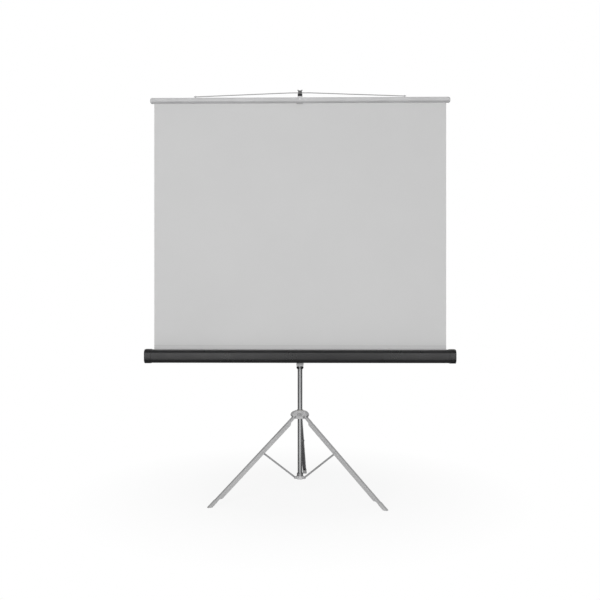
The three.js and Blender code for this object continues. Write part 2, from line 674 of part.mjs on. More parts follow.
function torsionSpring() {
  const radius = SPINDLE_RADIUS + 2 * GAP + SPRING_WIRE_RADIUS;
  const points = [];
  const besides = [];
  for (let i = 0; i <= SPRING_TURNS * SPRING_STEPS; i++) {
    const angle = (2 * Math.PI * i) / SPRING_STEPS;
    const beside = new THREE.Vector3(0, Math.cos(angle), Math.sin(angle));
    besides.push(beside);
    points.push(beside.clone().multiplyScalar(radius).setX((SPRING_PITCH * i) / SPRING_STEPS));
  }
  let least = Infinity;
  for (let i = 0; i < points.length; i++) {
    for (let j = i + SPRING_STEPS / 2; j < points.length; j++) {
      least = Math.min(least, points[i].distanceTo(points[j]) - 2 * SPRING_WIRE_RADIUS);
    }
  }
  console.log(`torsion spring, least gap between turns: ${least.toFixed(2)} mm`);
  return sweepWire(points, besides, SPRING_WIRE_RADIUS, SPRING_SIDES);
}

const rollerAxis = group("roller_axis", caseGroup, 0, rollerY, 0);
piece(rollerAxis, "spring_spindle", spindle(), PLATED_STEEL);
const spring = piece(rollerAxis, "torsion_spring", torsionSpring(), PLATED_STEEL);
spring.position.x = -plugInner + SPINDLE_LENGTH - SPRING_PITCH * (SPRING_TURNS + 2);

// Roller that turns between the caps
const roller = group("roller", rollerAxis);
const rollerBore = ROLLER_RADIUS - ROLLER_WALL;
const rollerTube = ring(rollerBore, ROLLER_RADIUS, -rollerEnd, rollerEnd).rotateY(Math.PI / 2);
piece(roller, "roller_tube", rollerTube, PLATED_STEEL);
const wraps = ring(ROLLER_RADIUS + GAP, rollRadius, -FABRIC_WIDTH / 2, FABRIC_WIDTH / 2).rotateY(Math.PI / 2);
piece(roller, "fabric_roll", wraps, MATT_WHITE);
const plugRadius = rollerBore - GAP;
const leftPlug = ring(AXLE_RADIUS + GAP, plugRadius, -rollerEnd, -plugInner).rotateY(Math.PI / 2);
piece(roller, "roller_plug_left", leftPlug, NYLON);
const rightPlug = revolve([
  [0, plugInner], [plugRadius, plugInner], [plugRadius, rollerEnd], [AXLE_RADIUS, rollerEnd],
  [AXLE_RADIUS, axleTip], [0, axleTip],
]).rotateY(Math.PI / 2);
piece(roller, "roller_plug_right", rightPlug, NYLON);

// Fabric from the back of the roller up into the slat
const slatBase = slatBottom - CASE_PIVOT_HEIGHT;
const fabricTop = slatBase + SLAT_SLOT_DEPTH - GAP;
const [halfFabric, halfSheet] = [FABRIC_WIDTH / 2, FABRIC_THICKNESS / 2];
piece(caseGroup, "screen_fabric",
  box(-halfFabric, halfFabric, fabricY - halfSheet, fabricY + halfSheet, 0, fabricTop), MATT_WHITE);

// Top slat, drawn from its bottom edge
const slat = group("slat", caseGroup, 0, fabricY, slatBase);

function slatSection(hollowed) {
  const [foot, half, slot] = [SLAT_FOOT_DEPTH / 2, SLAT_DEPTH / 2, FABRIC_THICKNESS / 2 + GAP];
  const arc = SLAT_HEIGHT - SLAT_ROUND;
  const shape = new THREE.Shape();
  shape.moveTo(foot, 0);
  shape.lineTo(foot, SLAT_FOOT_HEIGHT);
  shape.lineTo(half, SLAT_FOOT_HEIGHT + SLAT_STEP);
  shape.absarc(half - SLAT_ROUND, arc, SLAT_ROUND, 0, Math.PI / 2);
  shape.absarc(SLAT_ROUND - half, arc, SLAT_ROUND, Math.PI / 2, Math.PI);
  shape.lineTo(-half, SLAT_FOOT_HEIGHT + SLAT_STEP);
  shape.lineTo(-foot, SLAT_FOOT_HEIGHT);
  shape.lineTo(-foot, 0);
  if (hollowed) {
    shape.lineTo(-slot, 0);
    shape.lineTo(-slot, SLAT_SLOT_DEPTH);
    shape.lineTo(slot, SLAT_SLOT_DEPTH);
    shape.lineTo(slot, 0);
    const [inner, floor] = [half - SLAT_WALL, SLAT_FOOT_HEIGHT + SLAT_STEP + SLAT_WALL];
    const hollow = new THREE.Path();
    hollow.moveTo(inner, floor);
    hollow.lineTo(-inner, floor);
    hollow.absarc(SLAT_ROUND - half, arc, SLAT_ROUND - SLAT_WALL, Math.PI, Math.PI / 2, true);
    hollow.absarc(half - SLAT_ROUND, arc, SLAT_ROUND - SLAT_WALL, Math.PI / 2, 0, true);
    hollow.closePath();
    shape.holes.push(hollow);
  }
  shape.closePath();
  return shape;
}

// A slat cap for the +X end: the slat's own section, drawn in to a round nose
function slatCap() {
  const start = SLAT_LENGTH / 2 - SLAT_CAP_LENGTH + GAP;
  const nose = SLAT_CAP_LENGTH - GAP - SLAT_CAP_COLLAR;
  const slices = CORNER_FACETS + 1;
  const [lastTurn, fullness] = [0.47 * Math.PI, 0.55];
  const section = slatSection(false).getPoints(CORNER_FACETS);
  const middleZ = SLAT_HEIGHT / 2;
  const rings = Array.from({ length: slices + 2 }, (_, i) => {
    const turn = (Math.max(i - 1, 0) / slices) * lastTurn;
    const scale = Math.cos(turn) ** fullness;
    const x = i === 0 ? start : start + SLAT_CAP_COLLAR + nose * Math.sin(turn);
    return section.map((p) => [x, p.x * scale, middleZ + (p.y - middleZ) * scale]);
  });
  return loft(rings);
}

// A closed skin over rings of equal length, listed counter-clockwise about the way they run
function loft(rings) {
  const sides = rings[0].length;
  const positions = rings.flat(2);
  const faces = [];
  const middleOf = (points) => [0, 1, 2].map((k) => points.reduce((sum, p) => sum + p[k], 0) / sides);
  const last = rings.length - 1;
  const start = positions.length / 3;
  positions.push(...middleOf(rings[0]), ...middleOf(rings[last]));
  for (let j = 0; j < sides; j++) {
    const next = (j + 1) % sides;
    for (let i = 0; i < last; i++) {
      const [a, b] = [i * sides + j, i * sides + next];
      faces.push(a, b, a + sides, b, b + sides, a + sides);
    }
    faces.push(start, next, j, start + 1, last * sides + j, last * sides + next);
  }
  const geometry = new THREE.BufferGeometry();
  geometry.setAttribute("position", new THREE.Float32BufferAttribute(positions, 3));
  geometry.setIndex(faces);
  geometry.computeVertexNormals();
  return geometry;
}

// A bent sheet grip clasping the middle of the slat's front, with a finger lip under it
function slatGrip() {
  const front = -SLAT_DEPTH / 2 - GAP;
  const [half, neck] = [GRIP_WIDTH / 2, GRIP_NECK / 2];
  const face = new THREE.Shape();
  const corner = half - GRIP_DROP;
  const [side, shoulder] = [half - CHAMFER, SLAT_HEIGHT - GRIP_SHOULDER];
  const waist = neck + 2 * CHAMFER;
  face.moveTo(-corner, -GRIP_DROP);
  face.lineTo(corner, -GRIP_DROP);
  face.quadraticCurveTo(half, -GRIP_DROP, half, 0);
  face.lineTo(side, shoulder);
  face.quadraticCurveTo(waist, SLAT_HEIGHT, neck, SLAT_HEIGHT + GRIP_RISE);
  face.lineTo(-neck, SLAT_HEIGHT + GRIP_RISE);
  face.quadraticCurveTo(-waist, SLAT_HEIGHT, -side, shoulder);
  face.lineTo(-half, 0);
  face.quadraticCurveTo(-half, -GRIP_DROP, -corner, -GRIP_DROP);
  const plate = alongY(face, front - GRIP_SHEET, front);
  const [lipFront, lipTop] = [front - GRIP_SHEET - GRIP_LIP_REACH, GRIP_SHEET - GRIP_DROP];
  const lip = box(-corner + CHAMFER, corner - CHAMFER, lipFront, front - GRIP_SHEET / 2, -GRIP_DROP, lipTop);
  return join(plate, lip);
}

// A lug on the slat's top with the hole that the bail turns in
function bailEye() {
  const shape = new THREE.Shape();
  shape.moveTo(-EYE_RADIUS, SLAT_HEIGHT + GAP);
  shape.lineTo(EYE_RADIUS, SLAT_HEIGHT + GAP);
  shape.absarc(0, SLAT_HEIGHT + EYE_HEIGHT, EYE_RADIUS, 0, Math.PI);
  shape.closePath();
  const hole = new THREE.Path();
  hole.absarc(0, SLAT_HEIGHT + EYE_HEIGHT, BAIL_RADIUS + GAP, 0, 2 * Math.PI, true);
  shape.holes.push(hole);
  return alongX(shape, EYE_THICKNESS, { curveSegments: 2 * CORNER_FACETS });
}

const slatBar = alongX(slatSection(true), SLAT_LENGTH - 2 * SLAT_CAP_LENGTH);
piece(slat, "slat_profile", slatBar, LIGHT_GREY);
piece(slat, "slat_cap_right", slatCap(), LIGHT_GREY);
piece(slat, "slat_cap_left", slatCap().rotateZ(Math.PI), LIGHT_GREY);
piece(slat, "slat_grip", slatGrip(), LIGHT_GREY);
piece(slat, "bail_eye_left", bailEye(), PLATED_STEEL).position.x = -BAIL_SPAN / 2;
piece(slat, "bail_eye_right", bailEye(), PLATED_STEEL).position.x = BAIL_SPAN / 2;

// Bail wire, drawn from the axis of its eyes and leaning back to the hook
const bail = group("bail", slat, 0, 0, SLAT_HEIGHT + EYE_HEIGHT);
const wireY = WIRE_SET_BACK - fabricY;
const wireZ = HOOK_LIFT + HOOK_SEAT + BAIL_RADIUS + GAP - EYE_HEIGHT;

function bailWire() {
  const up = new THREE.Vector3(0, wireY, wireZ);
  const [eye, flat, bend] = [BAIL_SPAN / 2, BAIL_FLAT / 2, BAIL_BEND];
  const slope = up.length() / (eye - BAIL_STUB - flat);
  const corners = [[eye + BAIL_STUB, 0], [eye - BAIL_STUB, 0], [flat, up.length()]];
  const half = [corners[0], [eye - BAIL_STUB + bend, 0], [eye - BAIL_STUB + 2, 0.1]];
  half.push([eye - BAIL_STUB - bend, bend * slope], [flat + bend, up.length() - bend * slope]);
  half.push([flat + 1, up.length() - 0.1], [flat - bend, up.length()]);
  const route = [...half.map(([x, v]) => [-x, v]), ...half.reverse()];
  const along = up.clone().normalize();
  const points = route.map(([x, v]) => along.clone().multiplyScalar(v).setX(x));
  const beside = new THREE.Vector3(0, along.z, -along.y);
  return sweepWire(points, points.map(() => beside), BAIL_RADIUS, 12);
}

piece(bail, "bail_wire", bailWire(), PLATED_STEEL);

// Hub that slides on the mast, with three arched arms
const hub = group("hub", mast, 0, 0, legPivotHeight);
const bushOuter = MAST_RADIUS + GAP + HUB_BUSH_WALL;
const sleeveInner = bushOuter + GAP;
const sleeveOuter = sleeveInner + HUB_SLEEVE_WALL;
const armHalf = LEG_WIDTH / 2 + SIDE_PLAY + ARM_SHEET;

function hubArm() {
  const roof = new THREE.Shape();
  roof.moveTo(ARM_INNER, -EAR_RADIUS);
  roof.lineTo(LEG_PIVOT_RADIUS, -EAR_RADIUS);
  roof.absarc(LEG_PIVOT_RADIUS, 0, EAR_RADIUS, -Math.PI / 2, 0);
  roof.lineTo(ARM_REACH, ARM_EAVE);
  roof.absellipse(ARM_INNER, ARM_EAVE, ARM_REACH - ARM_INNER, ARM_TOP - ARM_EAVE, 0, Math.PI / 2);
  roof.closePath();
  const [reach, rise] = [ARM_REACH - ARM_INNER - ARM_SHEET, ARM_TOP - ARM_EAVE - ARM_SHEET];
  const throat = sleeveOuter + ARM_THROAT;
  const under = new THREE.Shape();
  under.moveTo(throat, -2 * EAR_RADIUS);
  under.lineTo(ARM_REACH + OVERRUN, -2 * EAR_RADIUS);
  under.lineTo(ARM_REACH + OVERRUN, ARM_EAVE);
  under.lineTo(ARM_INNER + reach, ARM_EAVE);
  under.absellipse(ARM_INNER, ARM_EAVE, reach, rise, 0, Math.acos((throat - ARM_INNER) / reach));
  under.closePath();
  const room = LEG_WIDTH / 2 + SIDE_PLAY;
  const through = armHalf + OVERRUN;
  const hole = rodAlongY(PIN_RADIUS + GAP, -through, through).translate(LEG_PIVOT_RADIUS, 0, 0);
  const wide = { curveSegments: 2 * CORNER_FACETS };
  return cut(alongY(roof, -armHalf, armHalf, wide), alongY(under, -room, room, wide), hole);
}

function hubCasting() {
  const sleeve = revolve([
    [sleeveInner, -HUB_BELOW], [sleeveOuter - CHAMFER, -HUB_BELOW], [sleeveOuter, CHAMFER - HUB_BELOW],
    [sleeveOuter, HUB_ABOVE - CHAMFER], [sleeveOuter - CHAMFER, HUB_ABOVE], [sleeveInner, HUB_ABOVE],
    [sleeveInner, -HUB_BELOW],
  ]);
  const arms = [];
  for (let i = 0; i < LEG_COUNT; i++) {
    arms.push(hubArm().rotateZ((BACK_LEG_AZIMUTH + (360 * i) / LEG_COUNT) * RAD));
  }
  const toFront = (BACK_LEG_AZIMUTH + 90) * RAD;
  const boss = rodAlongY(THUMB_RADIUS, sleeveInner + OVERRUN, sleeveOuter + THUMB_BOSS);
  const thread = rodAlongY(SCREW_RADIUS + GAP, 0, sleeveOuter + THUMB_BOSS + OVERRUN);
  const bore = rod(sleeveInner, -HUB_BELOW - OVERRUN, ARM_TOP + OVERRUN, TUBE_FACETS);
  return cut(
    join(sleeve, boss.translate(0, 0, THUMB_HEIGHT).rotateZ(toFront), ...arms),
    bore, thread.translate(0, 0, THUMB_HEIGHT).rotateZ(toFront),
  );
}

function hubBush() {
  const inner = MAST_RADIUS + GAP;
  const top = ARM_TOP + GAP;
  const rim = sleeveOuter - 2 * CHAMFER;
  return revolve([
    [inner, -HUB_BELOW], [bushOuter, -HUB_BELOW], [bushOuter, top], [rim, top],
    [rim, top + HUB_FLANGE - CHAMFER], [rim - CHAMFER, top + HUB_FLANGE], [inner, top + HUB_FLANGE],
    [inner, -HUB_BELOW],
  ]);
}

piece(hub, "hub_casting", hubCasting(), GREY_PAINT);
piece(hub, "hub_bush", hubBush(), BLACK_PLASTIC);
const thumb = group("hub_lock", hub, 0, 0, THUMB_HEIGHT);
thumb.rotation.z = (BACK_LEG_AZIMUTH + 90) * RAD;
const thumbSeat = sleeveOuter + THUMB_BOSS + GAP;
const thumbScrew = clampKnob(bushOuter + GAP, thumbSeat, THUMB_RADIUS, THUMB_LENGTH);
piece(thumb, "hub_thumb_screw", thumbScrew, BLACK_PLASTIC);

// Leg: a folded channel with its web outside, drawn from its pivot down along -Z
function legChannel() {
  const [half, sheet] = [LEG_WIDTH / 2, LEG_SHEET];
  const bendX = legOutside - LEG_BEND;
  const bendY = half - LEG_BEND;
  const shape = new THREE.Shape();
  shape.moveTo(legInside, -half);
  shape.absarc(bendX, -bendY, LEG_BEND, -Math.PI / 2, 0);
  shape.absarc(bendX, bendY, LEG_BEND, 0, Math.PI / 2);
  shape.lineTo(legInside, half);
  shape.lineTo(legInside, half - sheet);
  shape.absarc(bendX, bendY, LEG_BEND - sheet, Math.PI / 2, 0, true);
  shape.absarc(bendX, -bendY, LEG_BEND - sheet, 0, -Math.PI / 2, true);
  shape.lineTo(legInside, sheet - half);
  shape.closePath();
  const end = LEG_LENGTH - FOOT_SOLE;
  const bar = extrude(shape, end + LEG_TOP_END).translate(0, 0, -end);
  const deep = legInside - OVERRUN;
  const away = outline([
    [deep, LEG_TOP_END + OVERRUN], [deep, -TONGUE_LENGTH - TONGUE_RAKE], [-legOutside, -TONGUE_LENGTH],
    [-legOutside, LEG_TOP_END + OVERRUN],
  ]);
  const low = end - TONGUE_LENGTH - FOOT_SLEEVE / 4;
  const foot = outline([
    [deep, -end - OVERRUN], [-legOutside, -end - OVERRUN], [-legOutside, -low], [deep, -low + TONGUE_RAKE],
  ]);
  const pivotHole = rodAlongY(PIN_RADIUS + GAP, -half - OVERRUN, half + OVERRUN);
  const braceHole = pivotHole.clone().translate(bracePinX, 0, -BRACE_PIN_DISTANCE);
  const [fromY, toY] = [-half - OVERRUN, half + OVERRUN];
  return cut(bar, alongY(away, fromY, toY), alongY(foot, fromY, toY), pivotHole, braceHole);
}

// Moulded foot over the leg's end, cut flat where it stands on the floor
function footTip() {
  const inner = roundedRectangle(TONGUE_DEPTH + 2 * GAP, LEG_WIDTH + 2 * GAP, GAP);
  const grow = 2 * (GAP + FOOT_WALL);
  const outer = roundedRectangle(TONGUE_DEPTH + grow, LEG_WIDTH + grow, LEG_BEND + FOOT_WALL);
  const over = TONGUE_DEPTH + FOOT_WALL;
  const bar = extrude(outer, FOOT_SLEEVE + over).translate(0, 0, -LEG_LENGTH - over);
  const pocketEnd = FOOT_SOLE - GAP;
  const pocket = extrude(inner, FOOT_SLEEVE).translate(0, 0, pocketEnd - LEG_LENGTH);
  const big = 2 * FOOT_SLEEVE;
  const ground = box(-big, big, -big, big, -big, 0).rotateY(LEG_SPREAD * RAD).translate(0, 0, -LEG_LENGTH);
  return cut(bar, pocket, ground);
}

// Flat brace bar with round ends, drawn from the leg's pin down along -Z
function braceBar(length) {
  const half = BRACE_DEPTH / 2;
  const shape = new THREE.Shape();
  shape.absarc(0, 0, half, 0, Math.PI);
  shape.absarc(0, -length, half, Math.PI, 2 * Math.PI);
  shape.closePath();
  const holes = [[0, PIN_RADIUS], [-length, SPIDER_PIN_RADIUS]];
  for (const [z, radius] of holes) {
    const hole = new THREE.Path();
    hole.absarc(0, z, radius + GAP, 0, 2 * Math.PI, true);
    shape.holes.push(hole);
  }
  return alongY(shape, -BRACE_THICKNESS / 2, BRACE_THICKNESS / 2);
}

const spread = LEG_SPREAD * RAD;
const bracePinOrbit = LEG_PIVOT_RADIUS + BRACE_PIN_DISTANCE * Math.sin(spread) + bracePinX * Math.cos(spread);
const bracePinHeight = legPivotHeight - BRACE_PIN_DISTANCE * Math.cos(spread) + bracePinX * Math.sin(spread);
const braceReach = bracePinOrbit - SPIDER_PIN_ORBIT;
const braceFall = bracePinHeight - SPIDER_PIN_HEIGHT;
const braceLength = Math.hypot(braceReach, braceFall);
const braceAngle = Math.atan2(braceReach, braceFall);
const spiderPinHalf = BRACE_THICKNESS / 2 + SIDE_PLAY + CHEEK_THICKNESS + OVERRUN;

for (let i = 0; i < LEG_COUNT; i++) {
  const arm = group(`arm_${i + 1}`, hub);
  arm.rotation.z = (BACK_LEG_AZIMUTH + (360 * i) / LEG_COUNT) * RAD;
  const pin = rivet(PIN_RADIUS, PIN_HEAD_RADIUS, armHalf + GAP);
  piece(arm, `leg_pin_${i + 1}`, pin, PLATED_STEEL).position.x = LEG_PIVOT_RADIUS;
  const leg = group(`leg_${i + 1}`, arm, LEG_PIVOT_RADIUS);
  leg.rotation.y = -spread;
  piece(leg, `leg_channel_${i + 1}`, legChannel(), GREY_PAINT);
  piece(leg, `foot_tip_${i + 1}`, footTip(), RUBBER);
  const joint = group(`brace_${i + 1}`, leg, bracePinX, 0, -BRACE_PIN_DISTANCE);
  joint.rotation.y = spread + braceAngle;
  piece(joint, `brace_pin_${i + 1}`, rivet(PIN_RADIUS, PIN_HEAD_RADIUS, LEG_WIDTH / 2 + GAP), PLATED_STEEL);
  piece(joint, `brace_bar_${i + 1}`, braceBar(braceLength), GREY_PAINT);
  const spiderPin = rodAlongY(SPIDER_PIN_RADIUS, -spiderPinHalf, spiderPinHalf);
  piece(joint, `spider_pin_${i + 1}`, spiderPin, PLATED_STEEL).position.z = -braceLength;
}

// The origin is the middle of the bottom of the whole object's box
screen.updateMatrixWorld(true);
const whole = new THREE.Box3().setFromObject(screen, true);
const middlePoint = whole.getCenter(new THREE.Vector3());
screen.position.set(-middlePoint.x, -middlePoint.y, -whole.min.z);

export default screen;
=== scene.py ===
"""Looks of a tripod projection screen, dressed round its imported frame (metres, Z up, facing -Y)."""
import json
import math

import bmesh
import bpy
from mathutils import Matrix, Vector
from mathutils.bvhtree import BVHTree


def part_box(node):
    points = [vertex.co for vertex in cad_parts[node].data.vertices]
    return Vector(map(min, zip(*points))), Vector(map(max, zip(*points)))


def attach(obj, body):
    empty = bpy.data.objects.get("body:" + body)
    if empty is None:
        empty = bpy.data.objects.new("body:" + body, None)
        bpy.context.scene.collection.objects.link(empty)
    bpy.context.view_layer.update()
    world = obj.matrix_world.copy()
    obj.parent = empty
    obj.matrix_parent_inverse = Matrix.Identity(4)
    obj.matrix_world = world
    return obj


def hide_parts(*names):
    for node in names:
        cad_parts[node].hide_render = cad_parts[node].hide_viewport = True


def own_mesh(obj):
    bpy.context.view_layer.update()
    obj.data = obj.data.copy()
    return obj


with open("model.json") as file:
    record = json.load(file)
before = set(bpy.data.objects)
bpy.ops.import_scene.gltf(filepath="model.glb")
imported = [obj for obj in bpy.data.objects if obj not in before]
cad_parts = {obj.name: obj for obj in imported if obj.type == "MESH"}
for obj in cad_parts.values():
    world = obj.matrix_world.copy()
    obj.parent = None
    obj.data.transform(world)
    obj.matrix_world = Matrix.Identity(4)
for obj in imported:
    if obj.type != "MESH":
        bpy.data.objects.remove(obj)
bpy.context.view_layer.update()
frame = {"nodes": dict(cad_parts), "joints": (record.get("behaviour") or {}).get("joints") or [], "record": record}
bodies = frame["record"]["behaviour"]["bodies"]
body_of_node = {node: body for body, nodes in bodies.items() for node in nodes}
slot_of_node = {part["node"]: part["material_slot"] for part in frame["record"]["subparts"]}

MM = 0.001

# Places in the frame that pieces are set against
fabric_low, fabric_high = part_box("screen_fabric")
fabric_width = fabric_high.x - fabric_low.x
fabric_drop = fabric_high.z - fabric_low.z
fabric_y = (fabric_low.y + fabric_high.y) / 2
case_low, case_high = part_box("case_shell")
case_y = (case_low.y + case_high.y) / 2
case_z = (case_low.z + case_high.z) / 2
slat_low, slat_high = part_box("slat_profile")
mast_low, mast_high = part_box("mast_tube")
mast_y = (mast_low.y + mast_high.y) / 2


# Materials

NOISE_LOW, NOISE_HIGH = 0.3, 0.7  # nearly all of a noise lies between these
EDGE_FAINT, EDGE_SHARP = 0.52, 0.62  # pointiness where wear starts and where it is full
EDGE_WEAR = 0.5  # share of the worn colour on a sharp edge

COAT_PATCHES, COAT_PATCH_DETAIL, COAT_GRAIN_DETAIL = 9, 4, 3
COAT_DARK, COAT_LIGHT = 0.93, 1.06
COAT_GLOSSY, COAT_DULL = -0.05, 0.07
COAT_RELIEF, COAT_BUMP = 0.08 * MM, 0.15

BRUSH_LINES, BRUSH_LINE_DETAIL = 900, 2
BRUSH_PATCHES, BRUSH_PATCH_DETAIL = 14, 3
BRUSH_DARK, BRUSH_LIGHT = 0.94, 1.04
BRUSH_GLOSSY, BRUSH_DULL = -0.06, 0.08
BRUSH_RELIEF, BRUSH_BUMP = 0.02 * MM, 0.1

WEAVE_DISTORTION, WEAVE_DETAIL = 0.4, 1.0
WEAVE_PATCHES, WEAVE_PATCH_DETAIL = 2.2, 3
WEAVE_DARK, WEAVE_LIGHT = 0.985, 1.01
WEAVE_SPECULAR = 0.2
WEAVE_RELIEF, WEAVE_BUMP = 0.12 * MM, 0.2


def shader(name, color, roughness, metallic=0.0, specular=0.5):
    """A new material with its uniform values on the shader's own sockets."""
    material = bpy.data.materials.new(name)
    material.use_nodes = True
    bsdf = material.node_tree.nodes["Principled BSDF"]
    bsdf.inputs["Base Color"].default_value = (*color, 1)
    bsdf.inputs["Roughness"].default_value = roughness
    bsdf.inputs["Metallic"].default_value = metallic
    bsdf.inputs["Specular IOR Level"].default_value = specular
    return material, material.node_tree, bsdf


def node(tree, kind, **inputs):
    """A node of a kind with some of its inputs set."""
    made = tree.nodes.new(kind)
    for name, value in inputs.items():
        made.inputs[name.replace("_", " ")].default_value = value
    return made


def combine(tree, operation, first, second):
    """The result of a math operation on two values."""
    made = tree.nodes.new("ShaderNodeMath")
    made.operation = operation
    tree.links.new(first, made.inputs[0])
    tree.links.new(second, made.inputs[1])
    return made.outputs["Value"]


def object_noise(tree, scale, detail, stretch=(1, 1, 1)):
    """Noise in the object's own metres, stretched along its axes."""
    place = tree.nodes.new("ShaderNodeTexCoord")
    mapping = node(tree, "ShaderNodeMapping", Scale=stretch)
    noise = node(tree, "ShaderNodeTexNoise", Scale=scale, Detail=detail)
    tree.links.new(place.outputs["Object"], mapping.inputs["Vector"])
    tree.links.new(mapping.outputs["Vector"], noise.inputs["Vector"])
    return noise.outputs["Fac"]


def spread(tree, noise, low, high):
    """A noise spread from low to high."""
    ramp = node(tree, "ShaderNodeMapRange",
                From_Min=NOISE_LOW, From_Max=NOISE_HIGH, To_Min=low, To_Max=high)
    tree.links.new(noise, ramp.inputs["Value"])
    return ramp.outputs["Result"]


def mixed(tree, factor, first, second):
    """A colour between two, each a socket or a plain colour, by a factor from 0 to 1."""
    mix = tree.nodes.new("ShaderNodeMix")
    mix.data_type = "RGBA"
    tree.links.new(factor, mix.inputs["Factor"])
    for name, color in (("A", first), ("B", second)):
        if isinstance(color, tuple):
            mix.inputs[name].default_value = (*color, 1)
        else:
            tree.links.new(color, mix.inputs[name])
    return mix.outputs["Result"]


def shade(color, factor):
    return tuple(min(1.0, part * factor) for part in color)


def patchy(tree, patches, color, dark, light):
    """A colour that varies a little from place to place."""
    return mixed(tree, spread(tree, patches, 0, 1), shade(color, dark), shade(color, light))


def bump(tree, bsdf, height, depth, strength):
    """Surface relief of a depth in metres."""
    relief = node(tree, "ShaderNodeBump", Strength=strength, Distance=depth)
    tree.links.new(height, relief.inputs["Height"])
    tree.links.new(relief.outputs["Normal"], bsdf.inputs["Normal"])


def coated(name, color, roughness, grain, metallic=0.0, specular=0.5, wear=None):
    """Paint or moulded plastic: fine grain in its relief, uneven gloss, and edges worn to a grey."""
    material, tree, bsdf = shader(name, color, roughness, metallic, specular)
    fine = object_noise(tree, grain, COAT_GRAIN_DETAIL)
    patches = object_noise(tree, COAT_PATCHES, COAT_PATCH_DETAIL)
    shown = patchy(tree, patches, color, COAT_DARK, COAT_LIGHT)
    if wear:
        geometry = tree.nodes.new("ShaderNodeNewGeometry")
        edges = node(tree, "ShaderNodeMapRange", From_Min=EDGE_FAINT, From_Max=EDGE_SHARP, To_Max=EDGE_WEAR)
        tree.links.new(geometry.outputs["Pointiness"], edges.inputs["Value"])
        shown = mixed(tree, edges.outputs["Result"], shown, (wear, wear, wear))
    tree.links.new(shown, bsdf.inputs["Base Color"])
    gloss = spread(tree, patches, roughness + COAT_GLOSSY, roughness + COAT_DULL)
    tree.links.new(gloss, bsdf.inputs["Roughness"])
    bump(tree, bsdf, fine, COAT_RELIEF, COAT_BUMP)
    return material


def brushed(name, color, roughness, stretch=(1, 1, 1)):
    """Bright metal with fine lines along the axis of least stretch."""
    material, tree, bsdf = shader(name, color, roughness, 1.0)
    lines = object_noise(tree, BRUSH_LINES, BRUSH_LINE_DETAIL, stretch)
    patches = object_noise(tree, BRUSH_PATCHES, BRUSH_PATCH_DETAIL)
    tree.links.new(patchy(tree, patches, color, BRUSH_DARK, BRUSH_LIGHT), bsdf.inputs["Base Color"])
    gloss = spread(tree, lines, roughness + BRUSH_GLOSSY, roughness + BRUSH_DULL)
    tree.links.new(gloss, bsdf.inputs["Roughness"])
    bump(tree, bsdf, lines, BRUSH_RELIEF, BRUSH_BUMP)
    return material


def woven(name, color, threads, roughness):
    """Coated cloth with crossed threads in its relief."""
    material, tree, bsdf = shader(name, color, roughness, 0.0, WEAVE_SPECULAR)
    place = tree.nodes.new("ShaderNodeTexCoord")
    waves = []
    for direction in ("X", "Z"):
        wave = node(tree, "ShaderNodeTexWave",
                    Scale=threads, Distortion=WEAVE_DISTORTION, Detail=WEAVE_DETAIL)
        wave.bands_direction = direction
        tree.links.new(place.outputs["Object"], wave.inputs["Vector"])
        waves.append(wave.outputs["Fac"])
    cloth = combine(tree, "MAXIMUM", *waves)
    patches = object_noise(tree, WEAVE_PATCHES, WEAVE_PATCH_DETAIL)
    tree.links.new(patchy(tree, patches, color, WEAVE_DARK, WEAVE_LIGHT), bsdf.inputs["Base Color"])
    bump(tree, bsdf, cloth, WEAVE_RELIEF, WEAVE_BUMP)
    return material


SATIN_TUBE = brushed("satin_tube", (0.45, 0.455, 0.46), 0.24, stretch=(1, 1, 0.01))
PLATED = brushed("zinc_plate", (0.46, 0.465, 0.47), 0.34)
DARK_PLATE = brushed("dark_plate", (0.08, 0.08, 0.083), 0.2)

CAST = coated("cast_paint", (0.46, 0.46, 0.465), 0.5, 700, metallic=0.1, specular=0.4, wear=0.6)
HUB_CAST = coated("hub_cast", (0.53, 0.53, 0.535), 0.45, 700, metallic=0.1, specular=0.4, wear=0.62)
LIGHT_CAST = coated("light_cast_paint", (0.6, 0.6, 0.605), 0.46, 700, metallic=0.15, specular=0.45, wear=0.68)
LEG_PAINT = coated("leg_paint", (0.48, 0.48, 0.485), 0.5, 900, metallic=0.1, specular=0.4, wear=0.58)
# painted shade: dark grey for the inside of the leg channels, standing for the shade in their hollow
LEG_INSIDE_PAINTED_SHADE = coated("leg_inside_painted_shade", (0.22, 0.22, 0.225), 0.6, 900, specular=0.3)
DULL_STEEL = coated("dull_steel", (0.34, 0.34, 0.345), 0.5, 900, specular=0.4)
SLAT_PAINT = coated("slat_paint", (0.55, 0.55, 0.555), 0.5, 900, specular=0.35, wear=0.64)
# painted shade: the darker grey of the slat's lower band, standing for shade under its head
SLAT_SEAM_PAINTED_SHADE = coated("slat_seam_painted_shade", (0.375, 0.375, 0.38), 0.6, 900, specular=0.3)
CASE_COAT = coated("case_coat", (0.018, 0.018, 0.019), 0.3, 1200, specular=0.95, wear=0.05)
CAP_MOULDING = coated("cap_moulding", (0.016, 0.016, 0.017), 0.28, 1500, specular=1.0, wear=0.04)
BLACK_MOULDING = coated("black_moulding", (0.02, 0.02, 0.021), 0.5, 1500, specular=0.35, wear=0.05)
HOOK_MOULDING = coated("hook_moulding", (0.11, 0.11, 0.112), 0.38, 1500, specular=0.6, wear=0.1)
BRIGHT_CAP = coated("bright_cap", (0.72, 0.72, 0.72), 0.4, 1500)
GREY_RUBBER = coated("grey_rubber", (0.5, 0.5, 0.5), 0.75, 500, specular=0.3)
NATURAL_NYLON = coated("natural_nylon", (0.44, 0.43, 0.4), 0.5, 800)

FABRIC_FRONT = woven("screen_front", (0.6, 0.6, 0.6), 520, 0.9)
FABRIC_BACK = woven("screen_back", (0.03, 0.03, 0.032), 520, 0.85)
# painted shade: the darker cloth of the strip just above the case, standing for the case's shade on the cloth
FABRIC_HEM_PAINTED_SHADE = woven("screen_hem_painted_shade", (0.54, 0.54, 0.54), 700, 0.85)
CLOTH_ROLL = woven("cloth_roll", (0.6, 0.6, 0.6), 520, 0.9)

